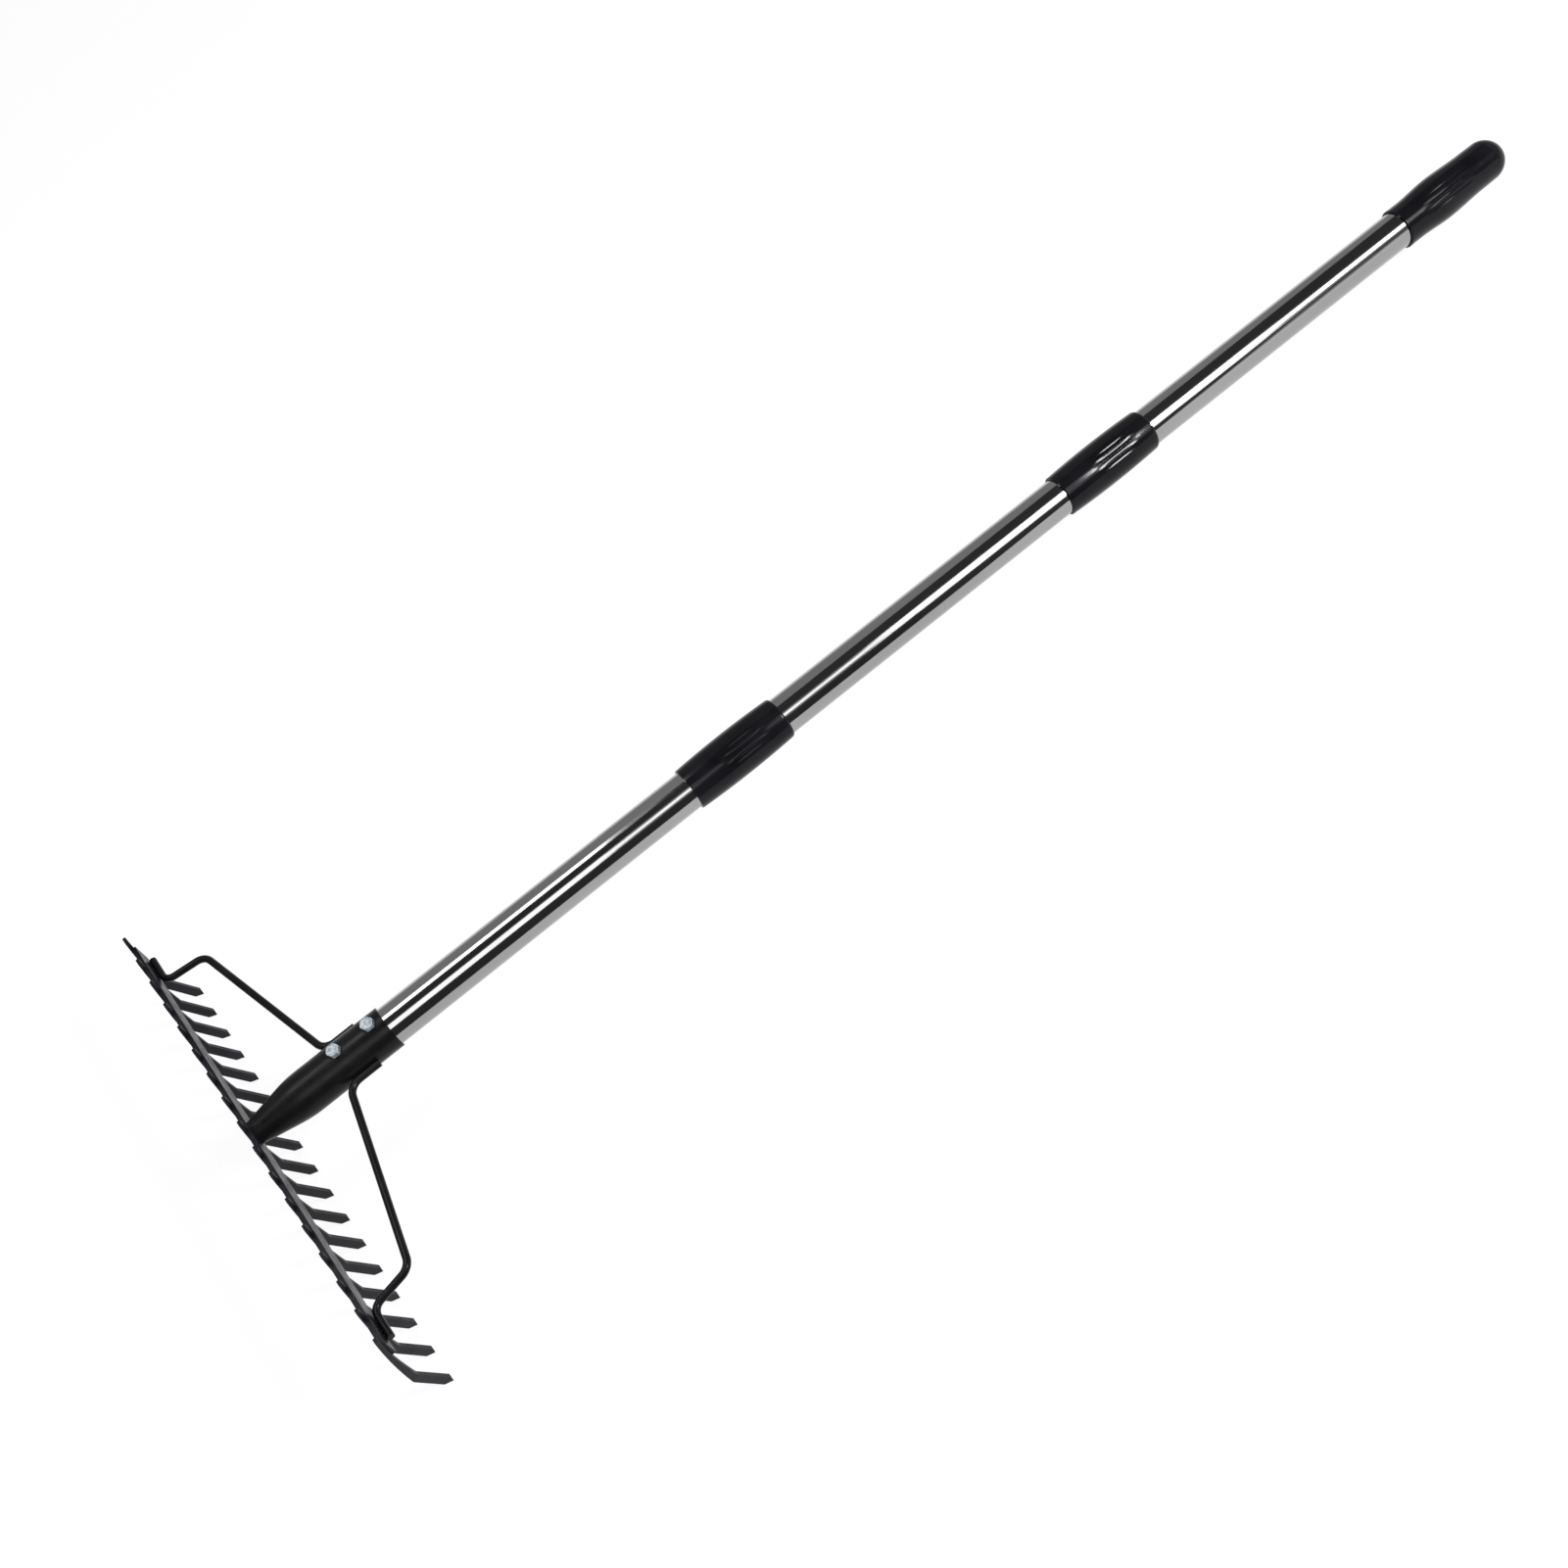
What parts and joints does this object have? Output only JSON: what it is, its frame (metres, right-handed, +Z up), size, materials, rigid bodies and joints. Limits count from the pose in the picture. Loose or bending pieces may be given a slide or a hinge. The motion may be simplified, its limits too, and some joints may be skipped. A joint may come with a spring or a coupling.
{
  "type": "garden rake",
  "caption": "Garden rake with a straight bar of bent steel tines, wire braces, a tapered socket and a screw-together tubular pole with fluted sleeves and end grip.",
  "frame": {"origin": "on the ground under the centre of the whole rake's bounding box", "axes": "+X along the rake from the head to the end grip, +Y along the crossbar, +Z up with the tine tips and the grip resting on the ground"},
  "size_m": [1.2974, 0.4386, 0.1075],
  "materials": {
    "painted_head_steel": "satin black paint",
    "painted_wire": "satin gloss black paint",
    "painted_socket_steel": "satin black paint",
    "zinc_plated_steel": "zinc plated",
    "polished_stainless_tube": "polished",
    "plug_plastic": "moulded",
    "grip_plastic": "glossy black"
  },
  "bodies": {
    "head": {"head_bar": "painted_head_steel", "tine_01": "painted_head_steel", "tine_02": "painted_head_steel", "tine_03": "painted_head_steel", "tine_04": "painted_head_steel", "tine_05": "painted_head_steel", "tine_06": "painted_head_steel", "tine_07": "painted_head_steel", "tine_08": "painted_head_steel", "tine_09": "painted_head_steel", "tine_10": "painted_head_steel", "tine_11": "painted_head_steel", "tine_12": "painted_head_steel", "tine_13": "painted_head_steel", "tine_14": "painted_head_steel", "tine_15": "painted_head_steel", "tine_16": "painted_head_steel", "tine_17": "painted_head_steel", "brace_wire_left": "painted_wire", "brace_wire_right": "painted_wire", "socket": "painted_socket_steel", "socket_bolts": "zinc_plated_steel", "socket_nuts": "zinc_plated_steel", "lower_tube": "polished_stainless_tube", "lower_threaded_plug": "plug_plastic"},
    "middle_pole": {"middle_swivel_plug": "plug_plastic", "middle_tube": "polished_stainless_tube", "middle_threaded_plug": "plug_plastic"},
    "lower_sleeve": {"lower_sleeve": "grip_plastic"},
    "upper_pole": {"upper_swivel_plug": "plug_plastic", "upper_tube": "polished_stainless_tube", "end_grip": "grip_plastic"},
    "upper_sleeve": {"upper_sleeve": "grip_plastic"}
  },
  "joints": [
    {"name": "middle_pole_draw", "type": "slide", "parent": "head", "child": "middle_pole", "axis": [0.9986, 0, -0.0532], "range_m": [0, 0.018]},
    {"name": "lower_sleeve_turn", "type": "hinge", "parent": "middle_pole", "child": "lower_sleeve", "pos_m": [-0.18015, 0, 0.06105], "axis": [0.9986, 0, -0.0532], "range_deg": [0, 1080]},
    {"name": "upper_pole_draw", "type": "slide", "parent": "middle_pole", "child": "upper_pole", "axis": [0.9986, 0, -0.0532], "range_m": [0, 0.018]},
    {"name": "upper_sleeve_turn", "type": "hinge", "parent": "upper_pole", "child": "upper_sleeve", "pos_m": [0.20181, 0, 0.04068], "axis": [0.9986, 0, -0.0532], "range_deg": [0, 1080]}
  ],
  "couplings": [
    {"joint": "lower_sleeve_turn", "follows": "middle_pole_draw", "rad_per_m": 1047.2},
    {"joint": "upper_sleeve_turn", "follows": "upper_pole_draw", "rad_per_m": 1047.2}
  ]
}
